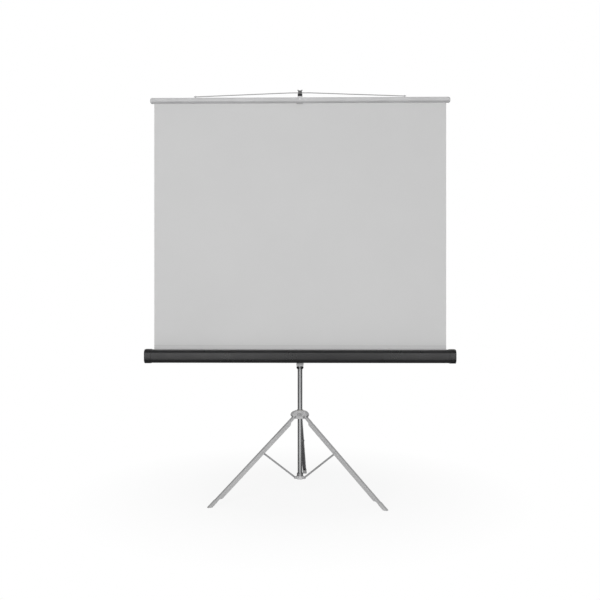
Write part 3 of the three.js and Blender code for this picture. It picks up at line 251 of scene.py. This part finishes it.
FINISHES = {
    "mast_tube": SATIN_TUBE,
    "plated_steel": PLATED,
    "grey_casting": CAST,
    "light_casting": LIGHT_CAST,
    "leg_grey": LEG_PAINT,
    "case_black": CASE_COAT,
    "black_plastic": BLACK_MOULDING,
    "slat_grey": SLAT_PAINT,
    "rubber": GREY_RUBBER,
    "nylon": NATURAL_NYLON,
    "screen_white": CLOTH_ROLL,
}


# Meshes

SHARP_ANGLE = math.radians(42)
FLAT_ANGLE = math.radians(0.5)
MERGE_DISTANCE = 1e-6
EDGE_ROUND = 0.5 * MM
FINE_ROUND = 0.25 * MM
ROUND_SEGMENTS = 2
TURN_STEPS = 24
CHANNEL_REACH = 30 * MM
RAY_LIFT = 0.4 * MM


def new_object(name, bm, materials, body):
    """A mesh object with smooth faces and crisp edges, riding on a body."""
    bmesh.ops.recalc_face_normals(bm, faces=bm.faces)
    mesh = bpy.data.meshes.new(name)
    for face in bm.faces:
        face.smooth = True
    bm.to_mesh(mesh)
    bm.free()
    mesh.set_sharp_from_angle(angle=SHARP_ANGLE)
    for material in materials:
        mesh.materials.append(material)
    made = bpy.data.objects.new(name, mesh)
    bpy.context.scene.collection.objects.link(made)
    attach(made, body)
    return made


def round_edges(piece, width):
    """Small rounded edges that catch the light, with flat faces kept flat."""
    bevel = piece.modifiers.new("rounded edges", "BEVEL")
    bevel.width = width
    bevel.segments = ROUND_SEGMENTS
    bevel.limit_method = "ANGLE"
    bevel.angle_limit = SHARP_ANGLE
    bevel.use_clamp_overlap = True
    bevel.harden_normals = True


def dress(name, width, material):
    """A copy of a CAD solid with merged faces and rounded edges, standing for it."""
    bm = bmesh.new()
    bm.from_mesh(frame["nodes"][name].data)
    bmesh.ops.remove_doubles(bm, verts=bm.verts, dist=MERGE_DISTANCE)
    bmesh.ops.dissolve_limit(bm, angle_limit=FLAT_ANGLE, verts=bm.verts, edges=bm.edges)
    piece = new_object(f"{name}_dressed", bm, [material], body_of_node[name])
    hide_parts(name)
    round_edges(piece, width)
    return piece


def paint_shade_inside(piece, across, material):
    """Give a channel's inner faces a darker finish as painted shade in its hollow: those with a wall on both sides
    of them.
    """
    mesh = piece.data
    mesh.materials.append(material)
    tree = BVHTree.FromPolygons([v.co for v in mesh.vertices], [p.vertices for p in mesh.polygons])
    for face in mesh.polygons:
        start = face.center + face.normal * RAY_LIFT
        walls = [tree.ray_cast(start, way * across, CHANNEL_REACH)[0] for way in (-1, 1)]
        face.material_index = 1 if all(walls) else 0


def band_below(piece, height, material):
    """Give what lies below a height its own finish, with a clean edge there."""
    mesh = piece.data
    bm = bmesh.new()
    bm.from_mesh(mesh)
    parts = bm.verts[:] + bm.edges[:] + bm.faces[:]
    bmesh.ops.bisect_plane(bm, geom=parts, plane_co=(0, 0, height), plane_no=(0, 0, 1))
    mesh.materials.append(material)
    for face in bm.faces:
        face.material_index = 1 if face.calc_center_median().z < height else 0
    bm.to_mesh(mesh)
    bm.free()


def grid_faces(bm, rows):
    """Quads between rows of points of equal length."""
    made = [[bm.verts.new(point) for point in row] for row in rows]
    for low, high in zip(made, made[1:]):
        for i in range(len(low) - 1):
            bm.faces.new((low[i], low[i + 1], high[i + 1], high[i]))
    return made


def prism(bm, profile, x_from, x_to):
    """A closed (y, z) profile swept along X, with both ends closed."""
    ends = [[bm.verts.new((x, y, z)) for y, z in profile] for x in (x_from, x_to)]
    count = len(profile)
    for i in range(count):
        j = (i + 1) % count
        bm.faces.new((ends[0][i], ends[0][j], ends[1][j], ends[1][i]))
    bm.faces.new(ends[0])
    bm.faces.new(ends[1])


def turned(bm, profile, place, axis):
    """(radius, height) pairs turned about an axis through a place, starting and ending on the axis."""
    turn = Vector((0, 0, 1)).rotation_difference(Vector(axis)).to_matrix().to_4x4()
    move = Matrix.Translation(place) @ turn
    angles = [2 * math.pi * i / TURN_STEPS for i in range(TURN_STEPS)]
    rings = []
    for radius, height in profile:
        if radius == 0:
            rings.append([bm.verts.new(move @ Vector((0, 0, height)))])
            continue
        rings.append([bm.verts.new(move @ Vector((radius * math.cos(a), radius * math.sin(a), height)))
                      for a in angles])
    for low, high in zip(rings, rings[1:]):
        for i in range(TURN_STEPS):
            j = (i + 1) % TURN_STEPS
            corners = [low[i % len(low)], low[j % len(low)], high[j % len(high)], high[i % len(high)]]
            bm.faces.new(list(dict.fromkeys(corners)))


def arc(centre, radius, start, end, steps):
    """Points of an arc in (y, z), angles in degrees."""
    turns = [math.radians(start + (end - start) * i / steps) for i in range(steps + 1)]
    return [(centre[0] + radius * math.cos(t), centre[1] + radius * math.sin(t)) for t in turns]


# Screen fabric

FABRIC_ROWS = 90
FABRIC_COLUMNS = 96
WAVE_HEIGHT = 0.7 * MM
WAVES_ACROSS, WAVE_START = 5.3, 1.1
WAVES_UP, WAVE_LEAN = 2.2, 4
# sizes of the strip of painted shade just above the case
HEM_ABOVE_CASE = 18 * MM
HEM_WIDTH = 4.5 * MM
HEM_THICKNESS = 0.35 * MM
HEM_SLOPE = 0.6 * MM
HEM_SUNK = 0.05 * MM


def fabric_wave(u, v):
    """Slight slack of the stretched cloth, none where it is held."""
    held = 4 * v * (1 - v)
    across = math.sin(WAVES_ACROSS * math.pi * u + WAVE_START)
    return WAVE_HEIGHT * held * across * math.sin(WAVES_UP * math.pi * v + WAVE_LEAN * u)


def fabric_row(y, v):
    """One row of points across the cloth, at a share v of its drop."""
    shares = [j / FABRIC_COLUMNS for j in range(FABRIC_COLUMNS + 1)]
    z = fabric_low.z + fabric_drop * v
    return [(fabric_low.x + fabric_width * u, y + fabric_wave(u, v), z) for u in shares]


def make_fabric():
    """Cloth with a pale front and a dark back, from the roller up into the slat."""
    bm = bmesh.new()
    heights = [i / FABRIC_ROWS for i in range(FABRIC_ROWS + 1)]
    skins = [grid_faces(bm, [fabric_row(y, v) for v in heights]) for y in (fabric_low.y, fabric_high.y)]
    back = {vert for row in skins[1] for vert in row}
    for face in bm.faces:
        face.material_index = 1 if face.verts[0] in back else 0
    rims = [
        [(row[0], other[0]) for row, other in zip(*skins)],
        [(row[-1], other[-1]) for row, other in zip(*skins)],
        list(zip(skins[0][0], skins[1][0])),
        list(zip(skins[0][-1], skins[1][-1])),
    ]
    for rim in rims:
        for (a, b), (c, d) in zip(rim, rim[1:]):
            bm.faces.new((a, c, d, b))
    cloth = new_object("projection_fabric", bm, [FABRIC_FRONT, FABRIC_BACK], "case")
    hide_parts("screen_fabric")
    return cloth


def make_shaded_hem():
    """A thin strip across the foot of the picture just above the case, coloured darker as painted shade of the
    case on the cloth.
    """
    bm = bmesh.new()
    foot = case_high.z + HEM_ABOVE_CASE
    head = foot + HEM_WIDTH
    back, front = fabric_low.y + HEM_SUNK, fabric_low.y - HEM_THICKNESS
    profile = [(back, foot), (front, foot + HEM_SLOPE), (front, head - HEM_SLOPE), (back, head)]
    prism(bm, profile, fabric_low.x, fabric_high.x)
    return new_object("fabric_hem_painted_shade", bm, [FABRIC_HEM_PAINTED_SHADE], "case")


fabric = make_fabric()
hem = make_shaded_hem()
for cloth in (fabric, hem):
    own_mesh(cloth)


# Case

CASE_CORNER = 21 * MM
CASE_WALL = 1.6 * MM
CASE_SLOT = 12 * MM
CORNER_STEPS = 14
LIP_DEPTH = 5 * MM
LIP_THICKNESS = 3.6 * MM
LIP_SUNK = 0.2 * MM
LIP_BEVEL, LIP_BEVEL_DROP = 1 * MM, 1.5 * MM
LIP_END = 40 * MM

slot_front, slot_back = fabric_y - CASE_SLOT / 2, fabric_y + CASE_SLOT / 2


def case_loop(inset):
    """The case's section from the slot's back lip round to its front lip."""
    low_y, high_y = case_low.y + inset, case_high.y - inset
    low_z, high_z = case_low.z + inset, case_high.z - inset
    radius = CASE_CORNER - inset
    corners = [
        ((high_y - radius, high_z - radius), 90, 0),
        ((high_y - radius, low_z + radius), 0, -90),
        ((low_y + radius, low_z + radius), 270, 180),
        ((low_y + radius, high_z - radius), 180, 90),
    ]
    path = [(slot_back, high_z)]
    for centre, start, end in corners:
        path += arc(centre, radius, start, end, CORNER_STEPS)
    return path + [(slot_front, high_z)]


def make_case():
    """The extruded case shell with its long slot."""
    bm = bmesh.new()
    prism(bm, case_loop(0) + case_loop(CASE_WALL)[::-1], case_low.x, case_high.x)
    shell = new_object("case_skin", bm, [CASE_COAT], "case")
    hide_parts("case_shell")
    round_edges(shell, FINE_ROUND)


def make_slot_lips():
    """Two soft lips in the slot that wipe the cloth."""
    bm = bmesh.new()
    top = case_high.z - LIP_SUNK
    foot = top - LIP_DEPTH
    for edge, way in ((slot_front, 1), (slot_back, -1)):
        tip = edge + way * LIP_THICKNESS
        profile = [(edge, top), (tip - way * LIP_BEVEL, top), (tip, top - LIP_BEVEL_DROP), (tip, foot),
                   (edge, foot)]
        prism(bm, profile, case_low.x + LIP_END, case_high.x - LIP_END)
    new_object("slot_lips", bm, [BLACK_MOULDING], "case")


make_case()
make_slot_lips()


# Slat seam strip coloured with painted shade, and carrier bush

SEAM_HEIGHT = 7 * MM
SEAM_PROUD = 0.4 * MM
SEAM_SLOPE = 0.5 * MM
SEAM_END = 1 * MM
BUSH_SPLIT = 9 * MM
BUSH_CHAMFER = 1 * MM
BUSH_LIP = 2.5 * MM
BUSH_TAPER = 5 * MM
BUSH_STEPS = 48

# top of the slat's lower band of painted shade
shaded_seam_top = slat_low.z + SEAM_HEIGHT


def make_slat_seam():
    """The strip along the slat's lower front edge, where the cloth goes in, coloured darker as painted shade under
    the slat's head.
    """
    bm = bmesh.new()
    front, back = slat_low.y - SEAM_PROUD, slat_low.y + SEAM_PROUD
    profile = [(back, slat_low.z + SEAM_SLOPE), (front, slat_low.z + 2 * SEAM_SLOPE), (front, shaded_seam_top),
               (back, shaded_seam_top + SEAM_SLOPE)]
    prism(bm, profile, slat_low.x + SEAM_END, slat_high.x - SEAM_END)
    new_object("slat_seam_painted_shade", bm, [SLAT_SEAM_PAINTED_SHADE], "slat")


def make_split_bush():
    """The carrier's dark bush, a clamp ring that is split in front and shows the mast there."""
    bm = bmesh.new()
    low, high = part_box("carrier_bush")
    middle, outer = (low + high) / 2, (high.x - low.x) / 2
    bore = (mast_high.x - mast_low.x) / 2
    section = [(bore, low.z), (bore + BUSH_LIP, low.z), (outer, low.z + BUSH_TAPER),
               (outer, high.z - BUSH_CHAMFER), (outer - BUSH_CHAMFER, high.z), (bore, high.z)]
    gap = math.asin(BUSH_SPLIT / 2 / outer)
    start, sweep = -math.pi / 2 + gap, 2 * math.pi - 2 * gap
    rows = []
    for i in range(BUSH_STEPS + 1):
        turn = start + sweep * i / BUSH_STEPS
        rows.append([(middle.x + radius * math.cos(turn), middle.y + radius * math.sin(turn), z)
                     for radius, z in section + section[:1]])
    made = grid_faces(bm, rows)
    for end in (made[0], made[-1]):
        bm.faces.new(end[:-1])
    bmesh.ops.remove_doubles(bm, verts=bm.verts, dist=MERGE_DISTANCE)
    bush = new_object("split_bush", bm, [DARK_PLATE],
                      body_of_node["carrier_bush"])
    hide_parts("carrier_bush")
    round_edges(bush, FINE_ROUND)


make_slat_seam()
make_split_bush()


# Fastener heads, as (radius, height) in mm from the face that they sit on

PAN_HEAD = [(0, 0.7), (1.5, 0.7), (1.6, 1.9), (2.6, 1.8), (3.5, 1.1), (3.8, 0.2), (3.8, -0.5), (0, -0.5)]
DOME_HEAD = [(0, 2.0), (1.5, 1.8), (2.8, 1.1), (3.5, 0.2), (3.5, -0.4), (0, -0.4)]
CAP_SCREW_Y, CAP_SCREW_Z = 16 * MM, 20 * MM
BRACKET_FLANGE = 3 * MM
RIVET_INSET, RIVET_Z = 11 * MM, 11 * MM
RIVET_SCALE = 1.2
GRIP_RIVET_HEIGHT = 0.58  # as a share of the slat's height
GRIP_RIVET_SCALE = 1.5


def heads(name, profile, places, axis, body, scale=1.0, finish=PLATED):
    """Fastener heads of one kind, facing along one axis."""
    bm = bmesh.new()
    sized = [(radius * scale * MM, height * scale * MM) for radius, height in profile]
    for place in places:
        turned(bm, sized, place, axis)
    new_object(name, bm, [finish], body)


for side, way in (("left", -1), ("right", 1)):
    cap_low, cap_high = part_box(f"case_end_cap_{side}")
    cap_face = cap_high.x if way > 0 else cap_low.x
    screws = [(cap_face, case_y - CAP_SCREW_Y, case_z + CAP_SCREW_Z),
              (cap_face, case_y + CAP_SCREW_Y, case_z - CAP_SCREW_Z)]
    heads(f"cap_screws_{side}", PAN_HEAD, screws, (way, 0, 0), "case")
bracket_low, bracket_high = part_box("case_bracket")
flange_y = bracket_low.y + BRACKET_FLANGE
rivet_x = bracket_high.x - RIVET_INSET
rivets = [(x, flange_y, case_z + z) for x in (-rivet_x, rivet_x) for z in (-RIVET_Z, RIVET_Z)]
heads("bracket_rivets", DOME_HEAD, rivets, (0, 1, 0), "case", RIVET_SCALE)
grip_rivet_z = slat_low.z + GRIP_RIVET_HEIGHT * (slat_high.z - slat_low.z)
grip_rivet = (0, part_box("slat_grip")[0].y, grip_rivet_z)
heads("grip_rivet", DOME_HEAD, [grip_rivet], (0, -1, 0), "slat", GRIP_RIVET_SCALE, BRIGHT_CAP)


# Every other piece keeps its CAD form, with rounded edges and its own finish; the slat's grip and caps and the
# legs' channel insides also get painted shade

OWN_MESH = {"screen_fabric", "case_shell", "carrier_bush"}
OWN_FINISH = {
    "pole_hook": HOOK_MOULDING,
    "hub_casting": HUB_CAST,
    "hub_thumb_screw": DULL_STEEL,
    "bail_wire": DULL_STEEL,
    "foot_spider": PLATED,
}
for number in (1, 2, 3):
    OWN_FINISH[f"brace_bar_{number}"] = DULL_STEEL
    OWN_FINISH[f"brace_pin_{number}"] = LEG_PAINT
for side in ("left", "right"):
    OWN_FINISH[f"bail_eye_{side}"] = SLAT_PAINT
    OWN_FINISH[f"case_end_cap_{side}"] = CAP_MOULDING
SPIDER_FLANGE = 18 * MM
HOOK_JAW = 24 * MM
BANDS = {
    # below this height the grip and slat caps are coloured darker, as painted shade under the slat's head
    "slat_grip": (shaded_seam_top, SLAT_SEAM_PAINTED_SHADE),
    "slat_cap_left": (shaded_seam_top, SLAT_SEAM_PAINTED_SHADE),
    "slat_cap_right": (shaded_seam_top, SLAT_SEAM_PAINTED_SHADE),
    "pole_hook": (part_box("pole_hook")[1].z - HOOK_JAW, BLACK_MOULDING),
    "foot_spider": (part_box("foot_spider")[0].z + SPIDER_FLANGE, LIGHT_CAST),
}
FINE_WORDS = ("pin", "glide", "spring", "spindle", "plug", "bail", "knob", "screw", "washer")

for name in frame["nodes"]:
    if name in OWN_MESH:
        continue
    fine = any(word in name for word in FINE_WORDS)
    finish = OWN_FINISH.get(name) or FINISHES[slot_of_node[name]]
    piece = dress(name, FINE_ROUND if fine else EDGE_ROUND, finish)
    if name in BANDS:
        band_below(piece, *BANDS[name])
    # the legs' channel insides get painted shade
    if name.startswith("leg_channel"):
        fold = next(joint for joint in frame["joints"] if joint["child"] == body_of_node[name])
        paint_shade_inside(piece, Vector(fold["axis"]), LEG_INSIDE_PAINTED_SHADE)


# Stage: pale floor, white surroundings, and dim panels that only reflections see

AMBIENT = 0.36
FLOOR_SIZE = 60
FLOOR_GREY = 0.9
FLOOR_GLOW = 0.88
FLOOR_NEAR, FLOOR_FAR = 0.45, 1.3  # the floor fades to white between these distances
FLAG_DIM, FLAG_DARK = 0.17, 0.02
SIDE_FLAGS = (  # low and high corner on the right, for the dark edges of tubes
    ("low", (0.55, -0.6, 0.01), (0.55, 2, 0.45)),
    ("floor", (0.1, -0.6, 0.004), (0.55, 2, 0.004)),
    ("side", (1.15, -1.25, 0.01), (1.15, 4, 3)),
)
CASE_FLAGS = (  # low and high corner, for the gradients over the case
    ("above", (-2.4, -3.2, 1.95), (2.4, -0.2, 1.95)),
    ("below", (-2.4, -0.5, 0.72), (2.4, -0.12, 0.72)),
    ("front", (-0.3, -6.2, 0), (1.1, -6.2, 1.6)),
)
LAMP_AIM = (0, mast_y, 1.3)
LAMPS = (  # name, place, size in metres, watts
    ("key", (-1.6, -5.2, 2.3), 2.5, 105),
    ("fill", (2.4, -5.0, 1.1), 2.5, 65),
    ("back", (1.5, 4.0, 3.2), 2.0, 24),
)


def seen_white(tree):
    """1 for camera, glossy and transmission rays, else 0."""
    rays = tree.nodes.new("ShaderNodeLightPath").outputs
    seen = combine(tree, "MAXIMUM", rays["Is Camera Ray"], rays["Is Glossy Ray"])
    return combine(tree, "MAXIMUM", seen, rays["Is Transmission Ray"])


def mix_shaders(tree, factor, first, second, output):
    """Join two shaders by a factor into an output."""
    mix = tree.nodes.new("ShaderNodeMixShader")
    tree.links.new(factor, mix.inputs["Fac"])
    tree.links.new(first, mix.inputs[1])
    tree.links.new(second, mix.inputs[2])
    tree.links.new(mix.outputs["Shader"], output.inputs["Surface"])


def make_world():
    """Soft light all round, seen as plain white."""
    world = bpy.data.worlds.new("studio")
    bpy.context.scene.world = world
    world.use_nodes = True
    tree = world.node_tree
    ambient = tree.nodes["Background"]
    ambient.inputs["Color"].default_value = (1, 1, 1, 1)
    ambient.inputs["Strength"].default_value = AMBIENT
    white = node(tree, "ShaderNodeBackground", Color=(1, 1, 1, 1), Strength=1)
    mix_shaders(tree, seen_white(tree), ambient.outputs["Background"], white.outputs["Background"],
                tree.nodes["World Output"])


def stage_panel(name, low, high, material):
    """A flat rectangle of the stage, between two corners that agree on one axis."""
    first, second = (axis for axis in range(3) if low[axis] != high[axis])
    corners = [list(low) for _ in range(4)]
    corners[1][first] = corners[2][first] = high[first]
    corners[2][second] = corners[3][second] = high[second]
    bm = bmesh.new()
    bm.faces.new([bm.verts.new(corner) for corner in corners])
    mesh = bpy.data.meshes.new(name)
    bm.to_mesh(mesh)
    bm.free()
    mesh.materials.append(material)
    panel = bpy.data.objects.new(name, mesh)
    bpy.context.scene.collection.objects.link(panel)
    return panel


def make_floor():
    """A pale floor that keeps the object's shadow near it and fades to white further out."""
    material, tree, bsdf = shader("pale_floor", (FLOOR_GREY,) * 3, 0.9, 0.0, 0.0)
    glow = node(tree, "ShaderNodeEmission", Strength=1)
    place = tree.nodes.new("ShaderNodeTexCoord")
    away = tree.nodes.new("ShaderNodeVectorMath")
    away.operation = "LENGTH"
    fade = node(tree, "ShaderNodeMapRange",
                From_Min=FLOOR_NEAR, From_Max=FLOOR_FAR, To_Min=FLOOR_GLOW, To_Max=1)
    tree.links.new(place.outputs["Object"], away.inputs[0])
    tree.links.new(away.outputs["Value"], fade.inputs["Value"])
    share = combine(tree, "MULTIPLY", seen_white(tree), fade.outputs["Result"])
    mix_shaders(tree, share, bsdf.outputs["BSDF"], glow.outputs["Emission"], tree.nodes["Material Output"])
    half = FLOOR_SIZE / 2
    stage_panel("floor", (-half, -half, 0), (half, half, 0), material)


def make_flag(name, low, high, level):
    """A dim panel near the object, seen only in reflections."""
    material, _, bsdf = shader(f"{name}_cloth", (0, 0, 0), 1.0, 0.0, 0.0)
    bsdf.inputs["Emission Color"].default_value = (1, 1, 1, 1)
    bsdf.inputs["Emission Strength"].default_value = level
    flag = stage_panel(name, low, high, material)
    flag.visible_camera = False
    flag.visible_diffuse = False
    flag.visible_shadow = False
    flag.visible_transmission = False


def area_light(name, place, size, watts):
    """A round lamp aimed at the middle of the screen, not seen in reflections."""
    light = bpy.data.lights.new(name, "AREA")
    light.shape = "DISK"
    light.size = size
    light.energy = watts
    lamp = bpy.data.objects.new(name, light)
    bpy.context.scene.collection.objects.link(lamp)
    lamp.location = place
    lamp.rotation_euler = (Vector(LAMP_AIM) - Vector(place)).to_track_quat("-Z", "Y").to_euler()
    lamp.visible_glossy = False


make_world()
make_floor()
for side in (-1, 1):
    for name, low, high in SIDE_FLAGS:
        make_flag(f"flag_{name}_{side}", (side * low[0], *low[1:]), (side * high[0], *high[1:]), FLAG_DIM)
for name, low, high in CASE_FLAGS:
    make_flag(f"flag_{name}", low, high, FLAG_DARK)
for lamp in LAMPS:
    area_light(*lamp)


# Camera, fitted to the photograph

CAMERA_DISTANCE = 4.07
CAMERA_HEIGHT = 1.077
CAMERA_AZIMUTH = math.radians(0.9)
CAMERA_LENS = 44.3
CAMERA_SENSOR = 36


def make_camera():
    """A level camera that looks at the mast."""
    data = bpy.data.cameras.new("photo_camera")
    data.lens = CAMERA_LENS
    data.sensor_width = CAMERA_SENSOR
    camera = bpy.data.objects.new("photo_camera", data)
    bpy.context.scene.collection.objects.link(camera)
    offset = Vector((math.sin(CAMERA_AZIMUTH), -math.cos(CAMERA_AZIMUTH), 0)) * CAMERA_DISTANCE
    target = Vector((0, mast_y, CAMERA_HEIGHT))
    camera.location = target + offset
    camera.rotation_euler = (-offset).to_track_quat("-Z", "Y").to_euler()
    bpy.context.scene.camera = camera


make_camera()
bpy.context.scene.view_settings.view_transform = "Standard"

bpy.context.view_layer.update()
